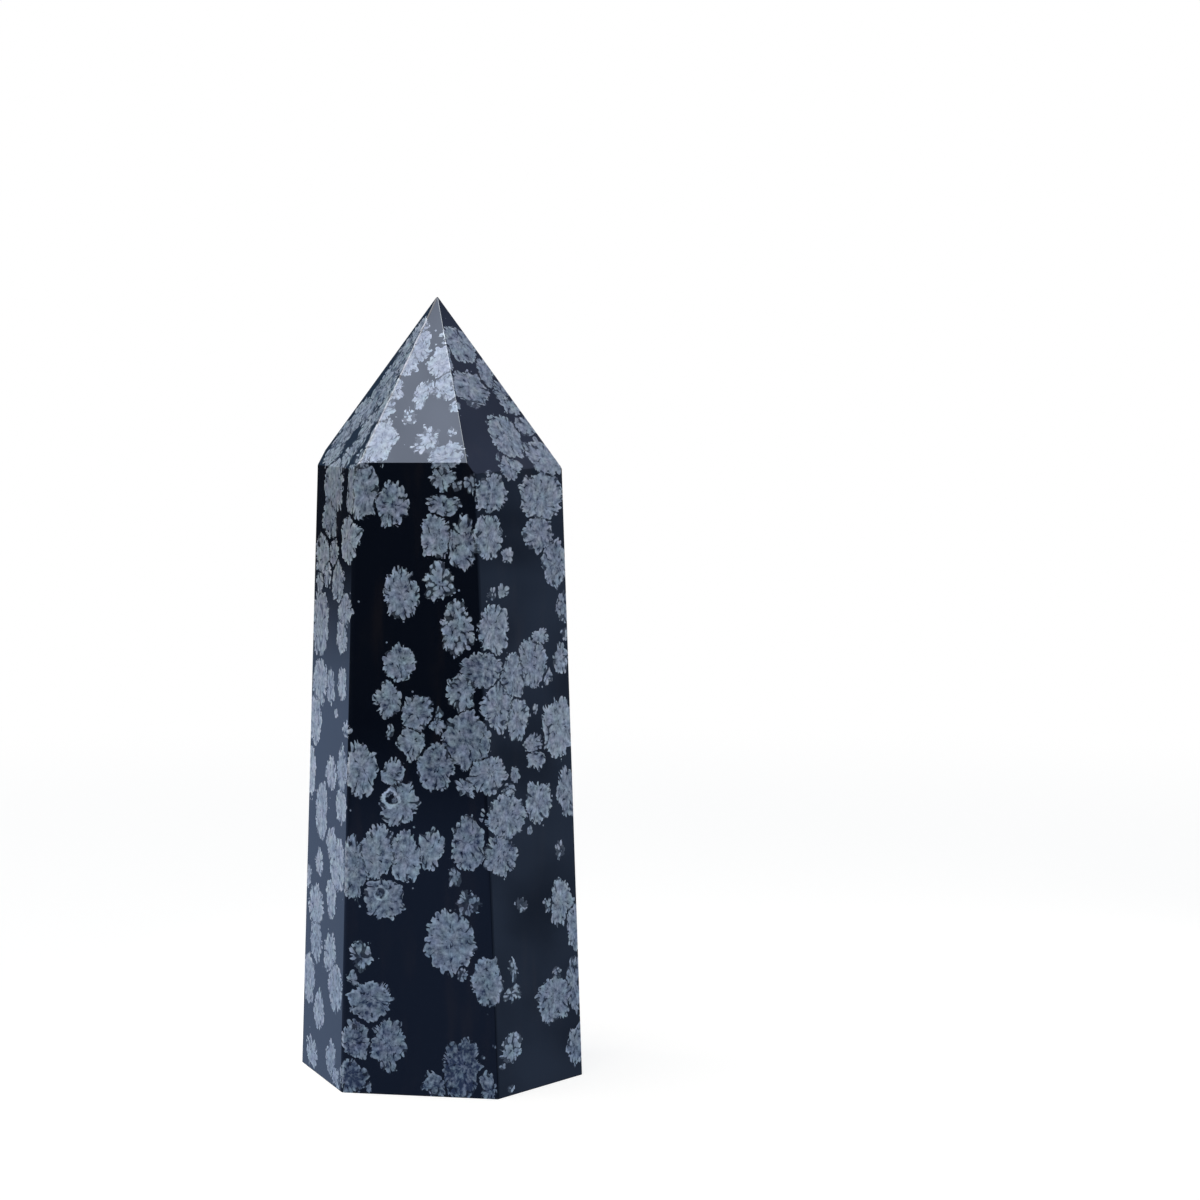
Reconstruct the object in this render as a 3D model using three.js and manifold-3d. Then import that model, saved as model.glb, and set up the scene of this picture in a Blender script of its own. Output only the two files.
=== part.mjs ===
// A snowflake obsidian point: one piece of volcanic glass, sawn to a six-sided bar that narrows upwards, ground by
// hand to a tip of six facets, cut flat at the foot and polished. It stands on its foot.
// Millimetres and degrees, +Z up, the front to -Y, the origin at the middle of the foot.
import * as THREE from "three";
import { mergeVertices } from "three/addons/utils/BufferGeometryUtils.js";
import Module from "manifold-3d";

// The whole stone, and the place where the planes of its tip facets meet, just above the blunt end.
const HEIGHT = 80;
const TIP = new THREE.Vector3(-0.5, 0.4, 80.2);

// The six long faces, going round. Each faces away from the axis at an angle counted from +X towards +Y, stands at a
// distance from the axis at the foot, and leans inwards. A hand-ground stone is a little uneven, so no two are alike.
const LONG_FACES = [
  { facing: -100, distance: 12.0, lean: 0.9 }, // front
  { facing: -39, distance: 13.1, lean: 2.4 }, // front right
  { facing: 19, distance: 12.6, lean: 1.3 }, // back right
  { facing: 78, distance: 12.3, lean: 1.6 }, // back
  { facing: 137, distance: 12.7, lean: 1.6 }, // back left
  { facing: 203, distance: 13.0, lean: 1.6 }, // front left
];

// The six tip facets, in the same order. Each passes through TIP, at a slope from the level.
const TIP_FACETS = [
  { facing: -100, slope: 56.5 },
  { facing: -41, slope: 58 },
  { facing: 19, slope: 57 },
  { facing: 78, slope: 57 },
  { facing: 137, slope: 57 },
  { facing: 204, slope: 58 },
];

// Polishing softens every edge to a strip this wide, and takes the needle off the tip.
const EDGE_WIDTH = 0.25;

// The rough block that the stone is cut from, which reaches past the stone at both ends, and the side of the block
// that stands for each saw or wheel cut.
const ROUGH = { side: 60, height: 120 };
const CUT_SIDE = 300;

// A corner counts as lying on a flat that it is nearer to than this.
const ON_FLAT = 0.001;

const GLASS = { color: 0x1a2130, roughness: 0.08, metalness: 0 };

const wasm = await Module();
wasm.setup();

function solidOf(geometry) {
  geometry.deleteAttribute("normal");
  geometry.deleteAttribute("uv");
  const merged = mergeVertices(geometry);
  return new wasm.Manifold(
    new wasm.Mesh({
      numProp: 3,
      vertProperties: new Float32Array(merged.attributes.position.array),
      triVerts: new Uint32Array(merged.index.array),
    }),
  );
}

function cornersOf(solid) {
  const { numProp, numVert, vertProperties } = solid.getMesh();
  return Array.from({ length: numVert }, (_, i) =>
    new THREE.Vector3().fromArray(vertProperties, i * numProp),
  );
}

// A flat of the stone is a plane: the direction it faces, and how far along that direction it lies.
function longFlat({ facing, distance, lean }) {
  const turn = THREE.MathUtils.degToRad(facing);
  const tilt = THREE.MathUtils.degToRad(lean);
  const out = Math.cos(tilt);
  const faces = new THREE.Vector3(out * Math.cos(turn), out * Math.sin(turn), Math.sin(tilt));
  return { faces, reach: distance * out };
}

function tipFlat({ facing, slope }) {
  const turn = THREE.MathUtils.degToRad(facing);
  const steep = THREE.MathUtils.degToRad(slope);
  const out = Math.sin(steep);
  const faces = new THREE.Vector3(out * Math.cos(turn), out * Math.sin(turn), Math.cos(steep));
  return { faces, reach: faces.dot(TIP) };
}

// Takes off all that lies beyond a flat, with a block whose bottom is laid on it.
function grind(solid, { faces, reach }) {
  const block = new THREE.BoxGeometry(CUT_SIDE, CUT_SIDE, CUT_SIDE);
  block.translate(0, 0, CUT_SIDE / 2 + reach);
  const up = new THREE.Vector3(0, 0, 1);
  block.applyQuaternion(new THREE.Quaternion().setFromUnitVectors(up, faces));
  return solid.subtract(solidOf(block));
}

// The flat that softens the edge between two flats: it faces midway between them, and lies as far under the edge as
// gives it the width of a softened edge.
function edgeFlat(one, other, corner) {
  const faces = one.faces.clone().add(other.faces).normalize();
  const depth = (EDGE_WIDTH / 2) * Math.tan(one.faces.angleTo(other.faces) / 2);
  return { faces, reach: faces.dot(corner) - depth };
}

function sharpPoint(flats) {
  const rough = new THREE.BoxGeometry(ROUGH.side, ROUGH.side, ROUGH.height);
  rough.translate(0, 0, HEIGHT / 2);
  return flats.reduce(grind, solidOf(rough));
}

function softenEdges(solid, flats) {
  const corners = cornersOf(solid);
  const touches = (flat, corner) => Math.abs(flat.faces.dot(corner) - flat.reach) < ON_FLAT;
  let softened = solid;
  flats.forEach((one, i) =>
    flats.slice(i + 1).forEach((other) => {
      const shared = corners.filter((corner) => touches(one, corner) && touches(other, corner));
      if (shared.length > 1) softened = grind(softened, edgeFlat(one, other, shared[0]));
    }),
  );
  return softened;
}

function geometryOf(solid) {
  const positions = cornersOf(solid).flatMap((corner) => corner.toArray());
  const geometry = new THREE.BufferGeometry();
  geometry.setAttribute("position", new THREE.Float32BufferAttribute(positions, 3));
  geometry.setIndex(Array.from(solid.getMesh().triVerts));
  return geometry;
}

function makePoint() {
  const foot = { faces: new THREE.Vector3(0, 0, -1), reach: 0 };
  const end = { faces: new THREE.Vector3(0, 0, 1), reach: HEIGHT };
  const flats = [...LONG_FACES.map(longFlat), ...TIP_FACETS.map(tipFlat), foot];
  const geometry = geometryOf(grind(softenEdges(sharpPoint(flats), flats), end));
  geometry.computeBoundingBox();
  const middle = geometry.boundingBox.getCenter(new THREE.Vector3());
  geometry.translate(-middle.x, -middle.y, 0);
  return geometry;
}

const point = new THREE.Mesh(makePoint(), new THREE.MeshStandardMaterial(GLASS));
point.name = "point";

const stone = new THREE.Group();
stone.add(point);

export default stone;
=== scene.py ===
# A snowflake obsidian point standing on a pale floor, as the photograph shows it: one piece of black
# volcanic glass with grey snowflakes in it, cut to a tapered hexagonal bar with a faceted tip. Sizes
# are in millimetres until they become Blender's metres.
import math
import random

import bpy
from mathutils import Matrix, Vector
from mathutils.geometry import intersect_line_plane


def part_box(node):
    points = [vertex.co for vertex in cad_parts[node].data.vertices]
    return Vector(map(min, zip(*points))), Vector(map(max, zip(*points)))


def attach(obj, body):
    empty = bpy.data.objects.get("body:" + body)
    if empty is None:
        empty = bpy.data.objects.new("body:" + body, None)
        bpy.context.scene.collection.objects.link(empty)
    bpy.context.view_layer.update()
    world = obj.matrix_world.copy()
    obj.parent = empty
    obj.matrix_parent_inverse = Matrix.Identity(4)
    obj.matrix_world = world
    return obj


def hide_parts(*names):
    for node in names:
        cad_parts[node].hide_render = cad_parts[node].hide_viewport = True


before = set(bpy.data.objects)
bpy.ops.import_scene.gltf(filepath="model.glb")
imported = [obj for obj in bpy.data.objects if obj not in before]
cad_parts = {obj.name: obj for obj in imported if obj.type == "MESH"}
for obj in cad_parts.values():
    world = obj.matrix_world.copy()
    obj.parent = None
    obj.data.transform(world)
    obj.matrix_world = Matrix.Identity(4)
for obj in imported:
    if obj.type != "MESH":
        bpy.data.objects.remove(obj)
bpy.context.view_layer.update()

MM = 0.001
scene = bpy.context.scene


# The photograph's view. The camera stands a little right of the stone and as high as its shoulders,
# about 26 cm off, and looks slightly down, so that the foot is seen from above and the shoulder line is
# nearly level.
CAMERA_PLACE = Vector((16.6, -263.1, 63.8)) * MM
CAMERA_LOOKS_DOWN = math.radians(3.25)
CAMERA_LENS = 76.5
SENSOR_WIDTH = 36.0
PHOTO_SIDE = 1200

bpy.ops.object.camera_add(location=CAMERA_PLACE, rotation=(math.radians(90) - CAMERA_LOOKS_DOWN, 0, 0))
camera = bpy.context.object
camera.data.lens = CAMERA_LENS
camera.data.sensor_width = SENSOR_WIDTH
camera.data.dof.use_dof = False
scene.camera = camera


def sight_line(x, y):
    """The direction in which the camera sees a place of the photograph."""
    focal_length = CAMERA_LENS / SENSOR_WIDTH * PHOTO_SIDE
    middle = PHOTO_SIDE / 2
    seen = Vector((x - middle, middle - y, -focal_length))
    return camera.rotation_euler.to_matrix() @ seen.normalized()


# The stone is one piece of volcanic glass. It is sawn to a six-sided bar that narrows upwards, ground
# by hand to a tip of six facets and cut flat at the foot, and the polishing softens its edges.
HEIGHT = 80.0
# Where the planes of the tip facets meet, just above the rounded end
TIP = Vector((-0.5, 0.4, 80.14))
# The rough block that the stone is cut from reaches past it on all sides.
ROUGH_SIDE, ROUGH_HEIGHT = 60, 120
# The long faces, going round: the way each faces, its distance from the axis at the foot, its inward lean
LONG_FACES = {
    "front": (-100, 12.0, 0.9),
    "right": (-39, 13.1, 2.4),
    "back right": (19, 12.6, 1.3),
    "back": (78, 12.3, 1.6),
    "back left": (137, 12.7, 1.6),
    "left": (203, 13.0, 1.6),
}
# The tip facets, in the same order: the way each faces, and its slope from the level
TIP_FACETS = {
    "tip front": (-100, 56.5),
    "tip right": (-41, 58),
    "tip back right": (19, 57),
    "tip back": (78, 57),
    "tip back left": (137, 57),
    "tip left": (204, 58),
}
# Polishing turns an edge into a strip this wide, rounded in this many steps. The edges in front are
# worn rounder than the others. Each is named by the flats on both sides.
EDGE_WIDTH = 0.3
EDGE_STEPS = 5
WORN_EDGES = {
    frozenset(("front", "left")): 2.8,
    frozenset(("front", "right")): 2.0,
    frozenset(("tip front", "tip left")): 1.3,
    frozenset(("tip front", "tip right")): 0.5,
}
# Two unit vectors face the same way when their dot product is above this.
SAME_WAY = 0.9999


def facing_way(turn, rise):
    """A unit vector that faces turn degrees round from +X, rise degrees up from the level."""
    turn, rise = math.radians(turn), math.radians(rise)
    return Vector((math.cos(turn) * math.cos(rise), math.sin(turn) * math.cos(rise), math.sin(rise)))


def cut_flat(stone, place, faces):
    """Saws off what lies beyond a plane, and gives the new flat the last material slot."""
    bpy.ops.object.mode_set(mode="EDIT")
    bpy.ops.mesh.select_all(action="SELECT")
    bpy.ops.mesh.bisect(plane_co=place, plane_no=faces, use_fill=True, clear_outer=True)
    bpy.ops.object.mode_set(mode="OBJECT")
    for face in stone.data.polygons:
        if face.normal.dot(faces) > SAME_WAY:
            face.material_index = len(stone.data.materials) - 1


# A flat is a plane: a place on it, and the way it faces.
flats = {"foot": (Vector((0, 0, 0)), Vector((0, 0, -1)))}
for name, (turn, distance, lean) in LONG_FACES.items():
    flats[name] = facing_way(turn, 0) * distance * MM, facing_way(turn, lean)
for name, (turn, slope) in TIP_FACETS.items():
    flats[name] = TIP * MM, facing_way(turn, 90 - slope)

bpy.ops.object.select_all(action="DESELECT")
bpy.ops.mesh.primitive_cube_add(size=1, location=(0, 0, HEIGHT / 2 * MM))
stone = bpy.context.object
stone.name = "polished_point"
stone.scale = Vector((ROUGH_SIDE, ROUGH_SIDE, ROUGH_HEIGHT)) * MM
bpy.ops.object.transform_apply(location=True, rotation=True, scale=True)
for name, (place, faces) in flats.items():
    stone.data.materials.append(bpy.data.materials.new(f"obsidian, {name}"))
    cut_flat(stone, place, faces)

widest = max(WORN_EDGES.values())
flats_beside = {edge.key: set() for edge in stone.data.edges}
for face in stone.data.polygons:
    for key in face.edge_keys:
        flats_beside[key].add(list(flats)[face.material_index])
weights = stone.data.attributes.new("bevel_weight_edge", "FLOAT", "EDGE")
for edge in stone.data.edges:
    width = WORN_EDGES.get(frozenset(flats_beside[edge.key]), EDGE_WIDTH)
    weights.data[edge.index].value = width / widest

soft_edges = stone.modifiers.new("softened edges", "BEVEL")
soft_edges.offset_type = "WIDTH"
soft_edges.width = widest * MM
soft_edges.segments = EDGE_STEPS
soft_edges.limit_method = "WEIGHT"
soft_edges.harden_normals = True
bpy.ops.object.shade_smooth()
bpy.ops.object.modifier_apply(modifier=soft_edges.name)

# The stone's own axis is a little off the middle of its foot, which is where the model's origin is, so
# the stone and its flats move over together.
corners = [v.co for v in stone.data.vertices]
low = Vector(min(c[i] for c in corners) for i in range(3))
high = Vector(max(c[i] for c in corners) for i in range(3))
model_low, model_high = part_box("point")
to_model = (model_low + model_high - low - high) / 2
to_model.z = 0
stone.location = to_model
bpy.ops.object.transform_apply(location=True, rotation=False, scale=False)
flats = {name: (place + to_model, faces) for name, (place, faces) in flats.items()}
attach(stone, "root")
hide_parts("point")


# The snowflakes are balls of grey crystal needles that grew outwards in the cooling glass, and the saw
# has cut them to discs. Each has its middle on a flat of the stone, so one near an edge carries on
# round it. Those in view are placed in the photograph: across, down, half the width and half the
# height, in its pixels. A fifth number says how open the crystals stand, where that isn't the usual.
SNOWFLAKES = {
    "front": [
        (363, 490, 17, 29), (392, 505, 16, 23), (444, 477, 13, 13, 0.2), (457, 486, 6, 5, 0.4),
        (443, 505, 16, 11, 0.15), (458, 506, 6, 5, 0.5), (437, 537, 16, 24), (463, 542, 14, 26),
        (401, 593, 19, 26), (439, 582, 16, 21, 0.45), (457, 629, 18, 27, 0.35), (399, 663, 16, 20),
        (389, 700, 14, 19), (416, 715, 17, 19), (463, 693, 16, 21, 0.15), (389, 731, 5, 8, 0.3),
        (411, 743, 14, 18), (439, 715, 6, 10, 0.5), (439, 726, 9, 9, 0.1), (466, 740, 24, 29),
        (437, 767, 20, 24), (465, 788, 10, 10, 0.25), (361, 769, 17, 28), (393, 774, 11, 16),
        (399, 805, 19, 24), (469, 844, 18, 27), (431, 849, 13, 21), (377, 853, 20, 28),
        (405, 856, 17, 26), (354, 869, 14, 32), (384, 899, 20, 21), (454, 877, 6, 12, 0.4),
        (451, 942, 24, 32), (488, 981, 17, 24), (467, 905, 13, 14, 0.75), (360, 957, 12, 14, 0.5),
        (352, 979, 8, 8), (370, 1000, 23, 21), (355, 1041, 15, 20), (353, 1076, 15, 19),
        (388, 1045, 18, 26), (369, 1086, 4, 7, 0.2), (462, 1068, 20, 30, 0.1), (436, 1086, 12, 14),
        (487, 1087, 9, 15), (494, 1047, 4, 5, 0.3), (484, 1057, 3, 4, 0.3), (463, 975, 6, 9, 0.5),
    ],
    "right": [
        (511, 468, 11, 12), (491, 494, 15, 21), (471, 486, 6, 10, 0.4), (488, 471, 5, 3, 0.6),
        (488, 537, 14, 22), (507, 554, 6, 8), (503, 590, 5, 7), (490, 594, 5, 7, 0.7),
        (494, 629, 15, 24), (541, 496, 22, 25), (539, 534, 16, 18), (555, 563, 13, 24),
        (563, 607, 7, 15, 0.2), (564, 633, 4, 8, 0.4), (513, 676, 13, 22), (532, 664, 14, 27),
        (540, 636, 9, 9), (561, 659, 8, 14), (549, 678, 4, 8), (485, 670, 17, 19), (498, 707, 16, 24),
        (517, 719, 13, 20), (535, 711, 4, 6), (533, 742, 10, 10), (537, 759, 10, 9), (558, 727, 16, 30),
        (490, 775, 16, 20), (514, 774, 6, 9), (510, 790, 8, 7, 0.4), (567, 792, 10, 24),
        (506, 817, 20, 23), (538, 801, 14, 21), (529, 830, 4, 5), (501, 854, 16, 23), (561, 901, 12, 23),
        (547, 905, 4, 10, 0.5), (577, 926, 10, 26), (554, 999, 18, 24), (557, 971, 4, 6, 0.6),
        (575, 984, 9, 27, 0.2), (577, 1045, 9, 20), (511, 1048, 10, 15, 0.4), (503, 1066, 3, 5, 0.3),
        (513, 972, 5, 11, 0.6), (511, 993, 9, 8, 0.8), (510, 1090, 3, 4, 0.6), (560, 850, 5, 9, 1),
        (522, 905, 5, 7, 1),
    ],
    "left": [
        (334, 487, 10, 28), (330, 516, 7, 20), (351, 490, 4, 25), (348, 539, 7, 24), (334, 526, 3, 12),
        (323, 556, 7, 21), (334, 552, 5, 15), (320, 583, 4, 13), (327, 573, 4, 12), (338, 583, 6, 20),
        (321, 622, 8, 33), (345, 610, 7, 17), (342, 637, 5, 19), (320, 682, 7, 24), (315, 718, 7, 24),
        (331, 686, 4, 18), (342, 683, 4, 17), (336, 714, 2, 5), (346, 730, 3, 9), (312, 772, 4, 26),
        (331, 775, 5, 18), (322, 811, 6, 28), (342, 770, 5, 23), (341, 805, 5, 20), (332, 843, 5, 16),
        (319, 862, 4, 14), (309, 876, 3, 12), (338, 865, 8, 27), (331, 897, 5, 21), (316, 906, 7, 22),
        (316, 938, 6, 22), (309, 977, 6, 26), (330, 953, 6, 21), (335, 988, 7, 24), (319, 1010, 5, 19),
        (312, 1051, 5, 16), (331, 1060, 5, 18), (335, 1076, 4, 11),
    ],
    "tip front": [
        (407, 361, 12, 17), (421, 345, 12, 16), (440, 363, 13, 17), (394, 389, 10, 12),
        (385, 412, 8, 13), (382, 441, 16, 22), (368, 455, 7, 9), (422, 395, 9, 13, 0.15),
        (433, 390, 6, 10, 0.4), (447, 386, 11, 16), (440, 393, 8, 8, 0.3), (455, 408, 5, 7, 0.2),
        (409, 415, 7, 8, 0.7), (427, 441, 14, 14, 0.6), (453, 432, 5, 6, 0.6), (445, 456, 20, 13),
    ],
    "tip right": [
        (460, 344, 14, 17), (486, 373, 8, 15), (470, 388, 18, 15, 0.12), (502, 392, 9, 10, 0.2),
        (473, 402, 8, 5, 0.8), (511, 406, 10, 8), (506, 437, 16, 20), (526, 426, 11, 9),
        (526, 446, 4, 6, 0.3), (543, 457, 17, 16), (498, 457, 3, 4, 0.3),
    ],
    "tip left": [
        (415, 336, 5, 10, 0.15), (406, 349, 5, 10), (399, 361, 5, 10, 0.15), (389, 376, 6, 9),
        (385, 390, 7, 11, 0.15), (374, 401, 7, 12), (383, 408, 4, 10, 0.3), (357, 418, 7, 11),
        (369, 424, 5, 10, 0.3), (345, 434, 7, 12, 0.15), (361, 440, 5, 10, 0.4), (335, 451, 7, 9),
        (349, 455, 6, 9, 0.4), (361, 458, 5, 7, 0.4),
    ],
}
# How open a snowflake's crystals usually stand. At 1 it is a loose fern.
USUAL_OPENNESS = 0.08
# On a sloping flat, a tall snowflake would need an endlessly tall ball, so a ball's stretch ends here.
LEAST_SPARE = 0.3


def seen_place(name, x, y):
    """The place on a flat that the camera sees at a place of the photograph."""
    place, faces = flats[name]
    return intersect_line_plane(CAMERA_PLACE, CAMERA_PLACE + sight_line(x, y), place, faces)


def ball_height(half_width, half_height, faces):
    """The half height of a ball whose section on a flat is as high as half_height up the slope."""
    rise, run = math.hypot(faces.x, faces.y), abs(faces.z)
    spare = max(1 - (run * half_height / half_width) ** 2, LEAST_SPARE)
    return max(rise * half_height / math.sqrt(spare), half_width / 2)


def seen_snowflakes(name):
    """The middle, half width, half height and openness of each snowflake in view on a flat."""
    _, faces = flats[name]
    for x, y, half_width, half_height, *open_by in SNOWFLAKES[name]:
        middle = seen_place(name, x, y)
        across = (seen_place(name, x + half_width, y) - middle).length
        up = (seen_place(name, x, y - half_height) - middle).length
        yield middle, across, ball_height(across, up, faces), *(open_by or [USUAL_OPENNESS])


# Hidden flats get snowflakes of the same sizes at random: their half widths in millimetres, and how
# many times as tall as wide they are.
UNSEEN_SEED = 7
UNSEEN_TRIES = 420
UNSEEN_HALF_WIDTHS = (0.5, 2.4)
TALLNESS = (1.0, 1.5)
# How far apart the middles of two neighbours are at least, as a share of their half widths together
LEAST_APART = 0.86
# How many half widths a hidden snowflake stays behind the flats in view
CLEAR_OF_SEEN = 1.2
# Powers of a random share: the first spreads the places out to a flat's corners, and the second keeps
# most of the snowflakes dense.
SPREAD_POWER = 3
DENSE_POWER = 4


def unseen_snowflakes(name, rng, others):
    """Places balls at random on a flat, clear of the flats in view, and hardly over each other."""
    _, faces = flats[name]
    outline = [
        stone.data.vertices[v].co
        for face in stone.data.polygons
        if face.normal.dot(faces) > SAME_WAY
        for v in face.vertices
    ]
    found = []
    for _ in range(UNSEEN_TRIES):
        weights = [rng.random() ** SPREAD_POWER for _ in outline]
        spot = sum((c * w for c, w in zip(outline, weights)), Vector()) / sum(weights)
        across = rng.uniform(*UNSEEN_HALF_WIDTHS) * MM
        up = across * rng.uniform(*TALLNESS)
        clear = all(
            (spot - flats[seen][0]).dot(flats[seen][1]) < -CLEAR_OF_SEEN * across for seen in SNOWFLAKES
        )
        apart = all(
            (spot - other).length > LEAST_APART * (across + reach) for other, reach, _, _ in others + found
        )
        if clear and apart:
            found.append((spot, across, ball_height(across, up, faces), rng.random() ** DENSE_POWER))
    return found


snowflakes = [flake for name in SNOWFLAKES for flake in seen_snowflakes(name)]
rng = random.Random(UNSEEN_SEED)
for name in flats:
    if name not in SNOWFLAKES:
        snowflakes += unseen_snowflakes(name, rng, snowflakes)


# The stone's finish. The glass is black and polished bright, with faint brown flow streaks. The
# crystals in it are grey-blue and dull themselves, and the polish runs on over them like a clear coat.
def new_group(name, inputs, outputs):
    """An empty node group with the sockets that inputs and outputs name, each as name: kind."""
    group = bpy.data.node_groups.new(name, "ShaderNodeTree")
    for direction, sockets in (("INPUT", inputs), ("OUTPUT", outputs)):
        for socket, kind in sockets.items():
            group.interface.new_socket(socket, in_out=direction, socket_type=f"NodeSocket{kind}")
    return group, group.nodes.new("NodeGroupInput").outputs, group.nodes.new("NodeGroupOutput").inputs


class Tree:
    """Adds nodes to a tree and returns what they put out. What goes in is a socket or a plain value."""

    def __init__(self, tree):
        self.tree = tree

    def feed(self, socket, value):
        if isinstance(value, bpy.types.NodeSocket):
            self.tree.links.new(value, socket)
        else:
            socket.default_value = value

    def node(self, kind, inputs, **settings):
        node = self.tree.nodes.new(kind)
        for name, value in settings.items():
            setattr(node, name, value)
        for name, value in inputs.items():
            self.feed(node.inputs[name], value)
        return node

    def group(self, group, inputs):
        return self.node("ShaderNodeGroup", inputs, node_tree=group).outputs

    def math(self, operation, *values, clamp=False):
        inputs = dict(enumerate(values))
        return self.node("ShaderNodeMath", inputs, operation=operation, use_clamp=clamp).outputs[0]

    def swing(self, base, value, by, middle=0.5):
        """The base, moved by as much as the value is off its middle, times by."""
        return self.math("MULTIPLY_ADD", self.math("SUBTRACT", value, middle), by, base)

    def vector(self, operation, *values, **scale):
        inputs = dict(enumerate(values)) | scale
        node = self.node("ShaderNodeVectorMath", inputs, operation=operation)
        return node.outputs["Value" if operation in ("LENGTH", "DISTANCE") else "Vector"]

    def parts(self, vector):
        return tuple(self.node("ShaderNodeSeparateXYZ", {"Vector": vector}).outputs)

    def mix(self, factor, one, other, kind="FLOAT"):
        first, second, out = {"FLOAT": (2, 3, 0), "VECTOR": (4, 5, 1), "RGBA": (6, 7, 2)}[kind]
        inputs = {0: factor, first: one, second: other}
        return self.node("ShaderNodeMix", inputs, data_type=kind).outputs[out]

    def ramp(self, value, low, high, to_low=0.0, to_high=1.0):
        inputs = {"Value": value, "From Min": low, "From Max": high, "To Min": to_low, "To Max": to_high}
        node = self.node("ShaderNodeMapRange", inputs, interpolation_type="SMOOTHSTEP", clamp=True)
        return node.outputs[0]

    def noise(self, vector, scale, detail, roughness=0.5, out="Fac"):
        inputs = {"Vector": vector, "Scale": scale, "Detail": detail, "Roughness": roughness}
        return self.node("ShaderNodeTexNoise", inputs).outputs[out]

    def cells(self, vector, scale=1.0, feature="F1"):
        inputs = {"Vector": vector, "Scale": scale}
        return self.node("ShaderNodeTexVoronoi", inputs, feature=feature).outputs


# What is handed on about the nearest snowflake: how near it and the second nearest are, where 1 is a
# snowflake's rim; the offset from its middle, in its own half sizes; and its radius, seed and openness.
NEAREST = {"Nearest": "Float", "Second": "Float", "Offset": "Vector", "Character": "Vector"}


def nearer_snowflake():
    """Compares one more snowflake with the nearest so far."""
    own = {"Place": "Vector", "Middle": "Vector", "Half size": "Vector", "Own character": "Vector"}
    group, given, out = new_group("nearer snowflake", NEAREST | own, NEAREST)
    t = Tree(group)
    offset = t.vector("DIVIDE", t.vector("SUBTRACT", given["Place"], given["Middle"]), given["Half size"])
    distance = t.vector("LENGTH", offset)
    nearer = t.math("LESS_THAN", distance, given["Nearest"])
    further = t.math("MAXIMUM", distance, given["Nearest"])
    t.feed(out["Nearest"], t.math("MINIMUM", distance, given["Nearest"]))
    t.feed(out["Second"], t.math("MINIMUM", further, given["Second"]))
    t.feed(out["Offset"], t.mix(nearer, given["Offset"], offset, "VECTOR"))
    t.feed(out["Character"], t.mix(nearer, given["Character"], given["Own character"], "VECTOR"))
    return group


# Each snowflake's seed moves its lobes and needles this way in the noise, so that no two are alike.
SEED_WAY = (17.0, 31.0, 47.0)
# How wide the lobes, bigger lobes and needles are along a snowflake's rim, in millimetres
LOBE = 0.6
BIG_LOBE = 1.3
NEEDLE = 0.4
# How far the rim moves, in millimetres: with the lobes, the notches between them, the bigger lobes, the
# fine and the coarse unevenness, and where a neighbour is near
LOBE_SWELL = 0.33
NOTCH = 0.3
BIG_LOBE_SWELL = 0.55
FINE_SWELL = 0.2
OPEN_SWELL = 2.0
NEIGHBOUR_PRESS = 0.17
# The rim's unevenness grows with a snowflake's radius, from the first to the second in millimetres.
GROWN_UNEVEN = (0.2, 1.2)
# How far the dark line between two snowflakes follows their lobes, and how far it is frayed
LINE_WAVE = 0.3
LINE_FRAY = 0.5
# How much of the glass shows in the dark line and between the needles
LINE_BARE = 0.8
GAP_BARE = 0.85
# How many cells of the glass hold a stray crystal, how wide it is in its cell, and how well it covers
STRAY_SHARE = 0.2
STRAY_SIZE = (0.15, 0.09)
STRAY_COVER = 0.8
# Where things begin and are full, in millimetres: the rim's edge, the press of a neighbour and the dark
# line that parts it off, the stray crystals round the rim, and the painted shade above the foot
RIM_EDGE = (0.08, -0.02)
PRESS_GAP = (0.5, 0.1)
LINE_GAP = (0.52, 0.2)
STRAY_REACH = (1.1, 0.6)
PAINTED_SHADE_HEIGHT = (13.0, 7.0)
# The crystals' tone, from dark at 0 to light at 1: the usual one, and what each cause changes in it
USUAL_TONE = 0.355
NEEDLE_TONE = -0.28
FIBRE_TONE = 0.6
MOTTLE_TONE = 1.55
WHOLE_TONE = 0.3
RIM_TONE = 0.2
OPEN_TONE = 0.12


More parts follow.
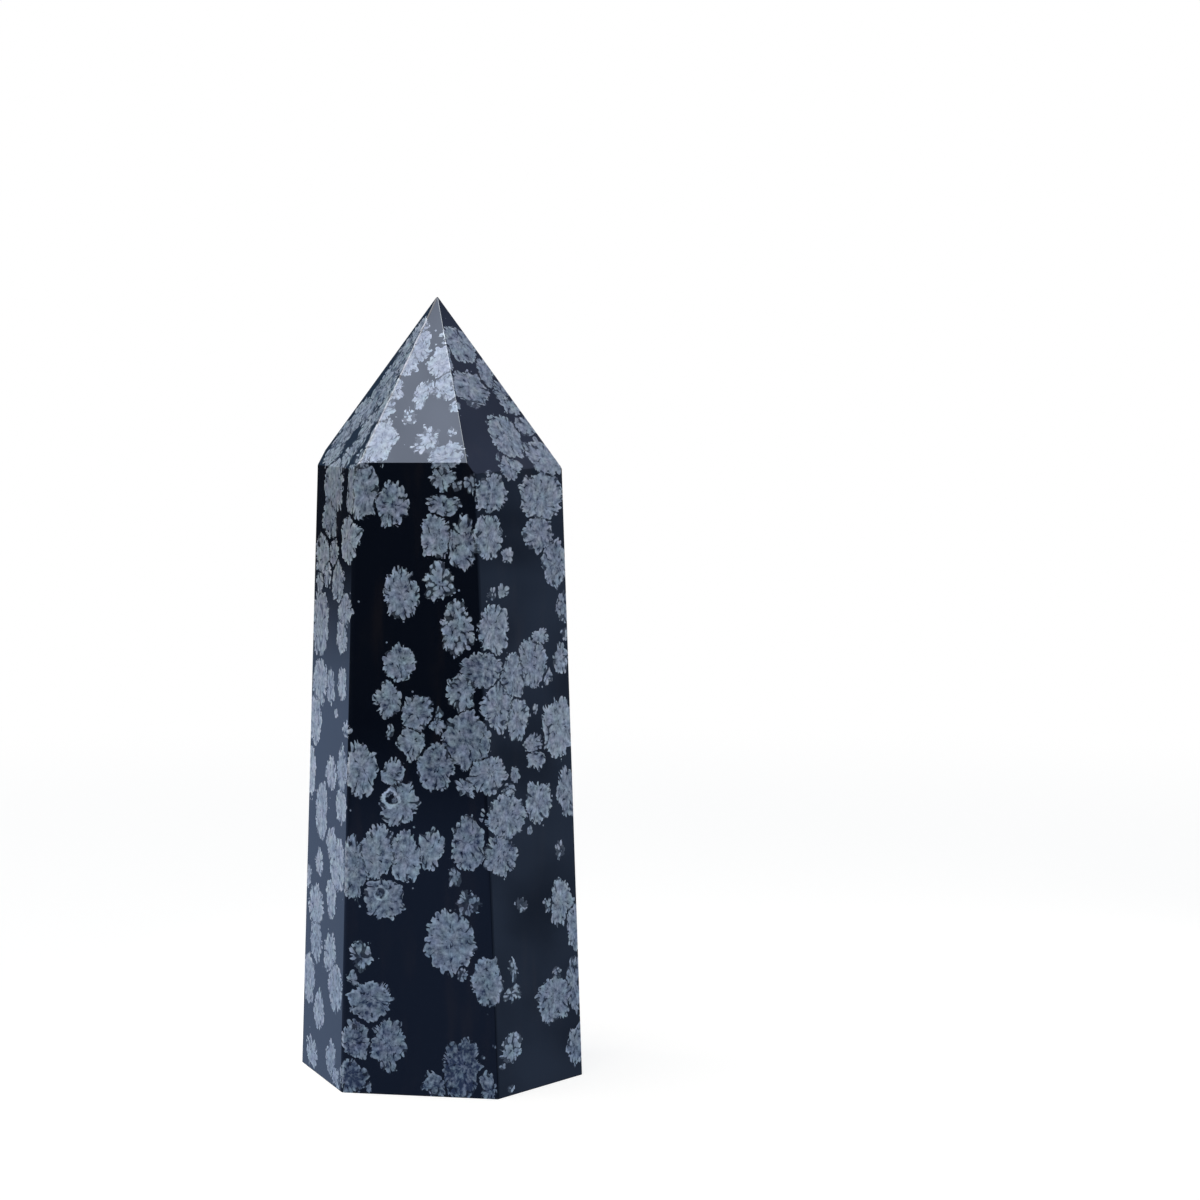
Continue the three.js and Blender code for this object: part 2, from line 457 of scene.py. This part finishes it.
def crystal_needles():
    """Where the nearest snowflake's crystals cover the glass, and how light they are. The needles stand
    in lobes round the rim, with thin gaps of glass between them, and a dark line parts it from the next."""
    own = {"Place": "Vector", "Painted foot shade": "Float", "Lift": "Float", "Contrast": "Float"}
    group, given, out = new_group("crystal needles", NEAREST | own, {"Cover": "Float", "Tone": "Float"})
    t = Tree(group)
    place = given["Place"]
    radius, seed, openness = t.parts(given["Character"])
    direction = t.vector("NORMALIZE", given["Offset"])
    past_rim = t.math("MULTIPLY", t.math("SUBTRACT", given["Nearest"], 1.0), radius)
    shift = t.vector("SCALE", SEED_WAY, Scale=seed)

    def round_rim(size, reach=radius):
        """Goes round the snowflake in cells that are as wide as size at that reach from its middle."""
        return t.vector("ADD", t.vector("SCALE", direction, Scale=t.math("DIVIDE", reach, size)), shift)

    lobe = t.cells(round_rim(LOBE))["Distance"]
    parting = t.cells(round_rim(LOBE), feature="DISTANCE_TO_EDGE")["Distance"]
    big_lobe = t.noise(round_rim(BIG_LOBE), scale=1.0, detail=1.0)
    patchy = t.noise(place, scale=1.1, detail=1.0)
    notch = t.math("MULTIPLY", t.ramp(parting, 0.18, 0.06), t.ramp(patchy, 0.35, 0.6, 0.3, 1.0))
    fine = t.math("SUBTRACT", t.noise(place, scale=3.0, detail=3.0, roughness=0.65), 0.5)
    coarse = t.math("SUBTRACT", t.noise(place, scale=1.5, detail=2.0, roughness=0.6), 0.5)
    between = t.math("MULTIPLY", t.math("SUBTRACT", given["Second"], given["Nearest"]), radius)
    between = t.swing(between, lobe, -LINE_WAVE, middle=0.55)
    between = t.math("MULTIPLY_ADD", fine, LINE_FRAY, between)

    # Small snowflakes are rounder than big ones, and open ones are the most uneven.
    relief = t.swing(0.0, lobe, LOBE_SWELL, middle=0.6)
    relief = t.math("MULTIPLY_ADD", notch, NOTCH, relief)
    relief = t.swing(relief, big_lobe, BIG_LOBE_SWELL)
    relief = t.math("MULTIPLY_ADD", fine, FINE_SWELL, relief)
    relief = t.math("MULTIPLY_ADD", t.math("MULTIPLY", coarse, openness), OPEN_SWELL, relief)
    edge = t.math("MULTIPLY_ADD", relief, t.ramp(radius, *GROWN_UNEVEN, 0.2, 1.0), past_rim)
    edge = t.math("MULTIPLY_ADD", t.ramp(between, *PRESS_GAP), NEIGHBOUR_PRESS, edge)

    # Needles lie side by side and end to end, longer than wide. Glass shows where they are far apart.
    longer = t.math("MULTIPLY", radius, t.math("MULTIPLY_ADD", given["Nearest"], 0.7, 0.3))
    along = round_rim(t.math("MULTIPLY_ADD", openness, 0.2, NEEDLE), longer)
    needle = t.cells(along)["Distance"]
    widest = t.math("MULTIPLY_ADD", t.math("SQRT", openness), -0.45, 1.0)
    widest = t.math("MULTIPLY_ADD", t.ramp(edge, -0.8, -0.1), -0.16, widest)
    gap = t.ramp(t.math("SUBTRACT", needle, widest), -0.1, 0.0)
    broken = t.ramp(t.noise(place, scale=3.4, detail=2.0), 0.44, 0.56)
    line = t.math("MULTIPLY", t.ramp(between, *LINE_GAP), broken)
    bare = t.math("MAXIMUM", t.math("MULTIPLY", line, LINE_BARE), t.math("MULTIPLY", gap, GAP_BARE))
    cover = t.math("MULTIPLY", t.ramp(edge, *RIM_EDGE), t.math("SUBTRACT", 1.0, bare))

    # Stray crystals lie in the glass round a snowflake.
    stray_cell = t.cells(place, scale=1.1)
    chosen = t.math("GREATER_THAN", t.parts(stray_cell["Color"])[0], 1 - STRAY_SHARE)
    stray = t.math("MULTIPLY", t.ramp(stray_cell["Distance"], *STRAY_SIZE), chosen)
    stray = t.math("MULTIPLY", stray, t.ramp(past_rim, *STRAY_REACH))
    cover = t.math("MAXIMUM", cover, t.math("MULTIPLY", stray, STRAY_COVER))

    # The tone varies from grain to grain and from snowflake to snowflake. Near the foot it is darkened, a
    # painted shade.
    fibres = t.noise(along, scale=1.2, detail=2.0, roughness=0.6)
    mottle = t.noise(place, scale=1.7, detail=3.0, roughness=0.65)
    whole = t.noise(shift, scale=3.0, detail=0.0)
    tone = t.swing(USUAL_TONE, needle, NEEDLE_TONE)
    tone = t.swing(tone, fibres, FIBRE_TONE)
    tone = t.swing(tone, mottle, MOTTLE_TONE)
    tone = t.swing(tone, whole, WHOLE_TONE)
    tone = t.math("MULTIPLY_ADD", t.ramp(edge, -0.4, -0.1), RIM_TONE, tone)
    tone = t.math("MULTIPLY_ADD", openness, OPEN_TONE, tone)
    # Painted light: a flat's crystals are lightened all over, and their contrast is raised about that.
    tone = t.swing(t.math("ADD", given["Lift"], 0.5), tone, given["Contrast"])
    # Painted shade: the crystals are darkened towards the foot.
    shade = t.math("MULTIPLY", t.ramp(t.parts(place)[2], *PAINTED_SHADE_HEIGHT), given["Painted foot shade"])
    t.feed(out["Cover"], cover)
    t.feed(out["Tone"], t.math("SUBTRACT", tone, shade, clamp=True))
    return group


# Round hollows in two of the front's snowflakes: across, down and radius in pixels, and how deep.
HOLLOWS = {"front": [(391, 799, 9.5, 1.0), (381, 893, 7.5, 0.75)]}
# Shares of a hollow's radius: where its rim and its pit begin and are full, and how ragged they are
RIM_INSIDE = (0.6, 0.74)
RIM_OUTSIDE = (1.04, 0.94)
PIT_EDGE = (0.7, 0.52)
RAGGEDNESS = 0.85
# How much lighter the rim is painted than the crystals round it, a painted highlight
PAINTED_RIM_HIGHLIGHT = 0.6


def round_hollow():
    """A round hollow in a snowflake: a thin rim with a painted highlight, and black pits and grey crystals
    inside it.
    """
    inputs = {"Place": "Vector", "Middle": "Vector", "Radius": "Float", "Depth": "Float"}
    looks = {"Cover": "Float", "Tone": "Float"}
    group, given, out = new_group("round hollow", inputs | looks, looks)
    t = Tree(group)
    place, depth = given["Place"], given["Depth"]
    away = t.math("DIVIDE", t.vector("DISTANCE", place, given["Middle"]), given["Radius"])
    away = t.swing(away, t.noise(place, scale=2.0, detail=2.0, roughness=0.6), RAGGEDNESS)
    rim = t.math("MULTIPLY", t.ramp(away, *RIM_INSIDE), t.ramp(away, *RIM_OUTSIDE))
    rim = t.math("MULTIPLY", rim, t.ramp(t.noise(place, scale=1.3, detail=1.0), 0.35, 0.55, 0.5, 1.0))
    rim = t.math("MULTIPLY", rim, depth)
    patches = t.ramp(t.noise(place, scale=2.1, detail=2.0, roughness=0.6), 0.6, 0.46)
    pit = t.math("MULTIPLY", t.math("MULTIPLY", t.ramp(away, *PIT_EDGE), patches), depth)
    cover = t.math("MULTIPLY", given["Cover"], t.math("SUBTRACT", 1.0, pit))
    t.feed(out["Cover"], t.math("MAXIMUM", cover, rim))
    # The rim's painted highlight lightens the tone there.
    t.feed(out["Tone"], t.math("MULTIPLY_ADD", rim, PAINTED_RIM_HIGHLIGHT, given["Tone"], clamp=True))
    return group


GLASS_COLOUR = (0.0035, 0.0052, 0.01, 1)
STREAK_COLOUR = (0.0105, 0.0095, 0.0125, 1)
CRYSTAL_DARK = (0.018, 0.03, 0.07, 1)
CRYSTAL_LIGHT = (0.55, 0.63, 0.72, 1)
GLASS_ROUGHNESS = 0.05
CRYSTAL_ROUGHNESS = 0.38
GLASS_IOR = 1.49
# Patches of the crystals are a little redder, greener or bluer than others.
HUE_SWING = (0.36, 0.2, 0.3)
HUE_BASE = (0.82, 0.9, 0.85)
# The streaks run up and down the stone, so their noise is stretched that way.
STREAK_STRETCH = (1.0, 1.0, 0.2)
# How far the snowflakes' outlines are bent, in millimetres
BEND = 1.3
# A snowflake that lies further off a flat than this many of its half widths is left out there.
REACH = 1.5
# Where the comparing starts: with nothing near
NOTHING_NEAR = {"Nearest": 9.0, "Second": 9.0, "Offset": (9.0, 0.0, 0.0), "Character": (1.0, 0.0, 0.0)}
# A snowflake's seed is its number times the step, and starts again at the limit.
SEED_STEP = 0.37
SEED_LIMIT = 10
# By flat: how much darker the crystals are painted near the foot, a painted shade; how much lighter they
# are painted all over, a painted light; and their contrast
PAINTED_FOOT_SHADE = {"front": 0.2}
# Painted light: the tip left flat's crystals are lighter, standing in for the light that falls on it.
PAINTED_LIGHT_LIFT = {"tip left": 0.3}
CONTRAST = {"tip left": 2.0}


def obsidian(material, name, nearer, needles, hollow):
    """Polished obsidian for one flat, with the snowflakes that reach it."""
    material.use_nodes = True
    surface = material.node_tree.nodes["Principled BSDF"]
    t = Tree(material.node_tree)
    metres = t.node("ShaderNodeTexCoord", {}).outputs["Object"]
    place = t.vector("SCALE", metres, Scale=1 / MM)
    sway = t.vector("SUBTRACT", t.noise(place, scale=0.55, detail=1.0, out="Color"), (0.5, 0.5, 0.5))
    bent = t.vector("MULTIPLY_ADD", sway, (BEND, BEND, BEND), place)
    flat_place, faces = flats[name]
    nearest = NOTHING_NEAR
    for number, (middle, across, up, openness) in enumerate(snowflakes):
        if abs((middle - flat_place).dot(faces)) > REACH * across:
            continue
        own = {
            "Place": bent,
            "Middle": middle / MM,
            "Half size": Vector((across, across, up)) / MM,
            "Own character": ((across + up) / 2 / MM, number * SEED_STEP % SEED_LIMIT, openness),
        }
        compared = t.group(nearer, nearest | own)
        nearest = {socket: compared[socket] for socket in nearest}
    own = {
        "Place": place,
        "Painted foot shade": PAINTED_FOOT_SHADE.get(name, 0.0),
        "Lift": PAINTED_LIGHT_LIFT.get(name, 0.0),
        "Contrast": CONTRAST.get(name, 1.0),
    }
    look = t.group(needles, nearest | own)
    for x, y, radius, depth in HOLLOWS.get(name, []):
        middle = seen_place(name, x, y)
        side = seen_place(name, x + radius, y)
        own = {
            "Place": place,
            "Middle": middle / MM,
            "Radius": (side - middle).length / MM,
            "Depth": depth,
            "Cover": look["Cover"],
            "Tone": look["Tone"],
        }
        look = t.group(hollow, own)
    cover, tone = look["Cover"], look["Tone"]
    stretched = t.vector("MULTIPLY", place, STREAK_STRETCH)
    streak = t.ramp(t.noise(stretched, scale=0.45, detail=4.0, roughness=0.6), 0.5, 0.8)
    glass = t.mix(streak, GLASS_COLOUR, STREAK_COLOUR, "RGBA")
    hues = t.noise(place, scale=0.9, detail=1.0, out="Color")
    hues = t.vector("MULTIPLY_ADD", hues, HUE_SWING, HUE_BASE)
    crystal = t.vector("MULTIPLY", t.mix(tone, CRYSTAL_DARK, CRYSTAL_LIGHT, "RGBA"), hues)
    t.feed(surface.inputs["Base Color"], t.mix(cover, glass, crystal, "RGBA"))
    t.feed(surface.inputs["Roughness"], t.mix(cover, GLASS_ROUGHNESS, CRYSTAL_ROUGHNESS))
    t.feed(surface.inputs["Coat Weight"], cover)
    surface.inputs["Coat Roughness"].default_value = GLASS_ROUGHNESS
    surface.inputs["Coat IOR"].default_value = GLASS_IOR
    surface.inputs["IOR"].default_value = GLASS_IOR


nearer, needles, hollow = nearer_snowflake(), crystal_needles(), round_hollow()
for material, name in zip(stone.data.materials, flats):
    obsidian(material, name, nearer, needles, hollow)


# The stage is a pale, softly glowing floor that fades into a white surround. The glow that the camera
# sees is neutral, and the one that lights the stone is bluer.
FLOOR_SIDE = 4.0
FLOOR_COLOUR = (0.4, 0.4, 0.4, 1)
FLOOR_ROUGHNESS = 0.9
FLOOR_SHOWN = (0.78, 0.78, 0.78, 1)
FLOOR_LIGHT = (0.36, 0.5, 0.67, 1)
# How far from the stone the fade begins and ends, in metres
FLOOR_FADES = (0.10, 0.35)
SURROUND = 1.0

bpy.ops.mesh.primitive_plane_add(size=FLOOR_SIDE, location=(0, 0, 0))
floor = bpy.context.object
floor.name = "floor"
floor.visible_glossy = False
floor_material = bpy.data.materials.new("pale floor")
floor_material.use_nodes = True
floor.data.materials.append(floor_material)
t = Tree(floor_material.node_tree)
pale = floor_material.node_tree.nodes["Principled BSDF"]
pale.inputs["Base Color"].default_value = FLOOR_COLOUR
pale.inputs["Roughness"].default_value = FLOOR_ROUGHNESS
pale.inputs["Specular IOR Level"].default_value = 0.0
pale.inputs["Emission Strength"].default_value = 1.0
shown = t.node("ShaderNodeLightPath", {}).outputs["Is Camera Ray"]
t.feed(pale.inputs["Emission Color"], t.mix(shown, FLOOR_LIGHT, FLOOR_SHOWN, "RGBA"))
from_middle = t.vector("LENGTH", t.node("ShaderNodeTexCoord", {}).outputs["Object"])
white = t.node("ShaderNodeEmission", {"Strength": SURROUND}).outputs[0]
faded = t.node("ShaderNodeMixShader", {0: t.ramp(from_middle, *FLOOR_FADES), 1: pale.outputs[0], 2: white})
t.feed(floor_material.node_tree.nodes["Material Output"].inputs["Surface"], faded.outputs[0])


# Cards of soft light hang round the stone, and its polish mirrors them. Nothing else sees them, so they
# shape the reflections and leave the light as it is.
EVEN_FADES = (0.12, 0.12, 0.12, 0.12)
CLOUD_SCALE = 45.0


def soft_glow(name, size, colour, strength, fades, uneven):
    """A glow that is uneven by a share of its strength. It fades out towards a card's left, right,
    bottom and top, each over a share of the card's size."""
    material = bpy.data.materials.new(name)
    material.use_nodes = True
    material.node_tree.nodes.remove(material.node_tree.nodes["Principled BSDF"])
    t = Tree(material.node_tree)
    local = t.node("ShaderNodeTexCoord", {}).outputs["Object"]
    clouds = t.noise(t.vector("MULTIPLY", local, (*size, 1)), scale=CLOUD_SCALE, detail=3.0, roughness=0.6)
    light = t.math("MULTIPLY", t.ramp(clouds, 0.35, 0.65, 1 - uneven, 1 + uneven), strength)
    across, up, _ = t.parts(local)
    for spot, side, fade in zip((across, across, up, up), (-0.5, 0.5, -0.5, 0.5), fades):
        light = t.math("MULTIPLY", light, t.ramp(spot, side, side * (1 - 2 * fade)))
    emission = t.node("ShaderNodeEmission", {"Color": colour, "Strength": light})
    t.feed(material.node_tree.nodes["Material Output"].inputs["Surface"], emission.outputs[0])
    return material


def card(name, turn, rise, size, colour, strength, fades=EVEN_FADES, aim=35, distance=0.4, uneven=0.0):
    """A glowing card, square on to a height of aim millimetres in the stone. It hangs turn degrees
    round and rise degrees up from there, and its size and distance are in metres."""
    way = facing_way(turn, rise)
    bpy.ops.mesh.primitive_plane_add(size=1, location=Vector((0, 0, aim * MM)) + way * distance)
    made = bpy.context.object
    made.name = name
    made.rotation_euler = way.to_track_quat("Z", "Y").to_euler()
    made.scale = (*size, 1)
    made.data.materials.append(soft_glow(name, size, (*colour, 1), strength, fades, uneven))
    made.visible_camera = made.visible_diffuse = made.visible_shadow = False


card(
    "overhead card", turn=-95, rise=74, aim=70, distance=0.5, size=(0.55, 0.5),
    colour=(0.68, 0.78, 1.0), strength=5.2, uneven=0.12,
)
card(
    "high left card", turn=158, rise=50, aim=70, distance=0.5, size=(0.5, 0.4),
    colour=(0.92, 0.93, 1.0), strength=4.0, fades=(0.3, 0.3, 0.3, 0.3),
)
card(
    "tip edge card", turn=-5, rise=64, aim=70, distance=0.5, size=(0.15, 0.2),
    colour=(0.85, 0.92, 1.0), strength=14.0,
)
card(
    "right card", turn=-25, rise=-3, size=(0.8, 0.4),
    colour=(0.42, 0.6, 0.98), strength=0.46, fades=(0.6, 0.1, 0.12, 0.12), uneven=0.4,
)
card(
    "tip right card", turn=28, rise=36, aim=65, size=(0.25, 0.25),
    colour=(0.48, 0.6, 1.0), strength=0.66, uneven=0.2,
)
card(
    "left card", turn=128, rise=-12, size=(0.17, 0.2),
    colour=(0.45, 0.62, 0.98), strength=0.6, fades=(0.12, 0.1, 0.12, 0.25),
)
card(
    "tip left card", turn=121, rise=21, aim=68, size=(0.3, 0.22),
    colour=(0.33, 0.58, 1.0), strength=0.2,
)
card(
    "low left card", turn=-170, rise=-15, distance=0.3, size=(0.5, 0.12),
    colour=(0.33, 0.5, 1.0), strength=0.36, fades=(0.02, 0.02, 0.12, 0.3),
)
card(
    "front card", turn=-86, rise=-15, distance=0.3, size=(0.6, 0.12),
    colour=(0.33, 0.5, 1.0), strength=0.38, fades=(0.1, 0.3, 0.12, 0.3),
)


# The lamps light the stone and its crystals, and the polish doesn't mirror them. The soft light hangs
# near the overhead card. A small lamp lights the left side, most in its lower half, and another lights
# the right side, and neither reaches the front.
def lamp(name, place, aim, side, radiance, colour):
    """A square light at a place in metres that shines at a height of aim millimetres in the stone. Its
    power is its radiance times pi times its area."""
    bpy.ops.object.light_add(type="AREA", location=place)
    made = bpy.context.object
    made.name = name
    made.rotation_euler = (Vector(place) - Vector((0, 0, aim * MM))).to_track_quat("Z", "Y").to_euler()
    made.data.size = side
    made.data.energy = radiance * math.pi * side**2
    made.data.color = colour
    made.visible_glossy = made.visible_camera = False


lamp("soft light", (-0.10, -0.13, 0.52), aim=80, side=0.5, radiance=2.0, colour=(1.0, 0.93, 0.81))
lamp("left light", (-0.060, 0.016, 0.028), aim=28, side=0.04, radiance=4.9, colour=(1.0, 0.88, 0.72))
lamp("right light", (0.118, 0.02, 0.04), aim=40, side=0.08, radiance=1.5, colour=(1.0, 0.86, 0.7))


# The surround is white to the camera and dim to the stone, dimmest of all to its polish.
DIM_LIGHT = (0.15, 0.19, 0.24, 1)
DIM_MIRRORED = (0.012, 0.014, 0.02, 1)

world = bpy.data.worlds.new("surround")
scene.world = world
world.use_nodes = True
t = Tree(world.node_tree)
path = t.node("ShaderNodeLightPath", {}).outputs
dim = t.mix(path["Is Glossy Ray"], DIM_LIGHT, DIM_MIRRORED, "RGBA")
sky = t.mix(path["Is Camera Ray"], dim, (SURROUND, SURROUND, SURROUND, 1), "RGBA")
t.feed(world.node_tree.nodes["Background"].inputs["Color"], sky)

scene.view_settings.view_transform = "Standard"
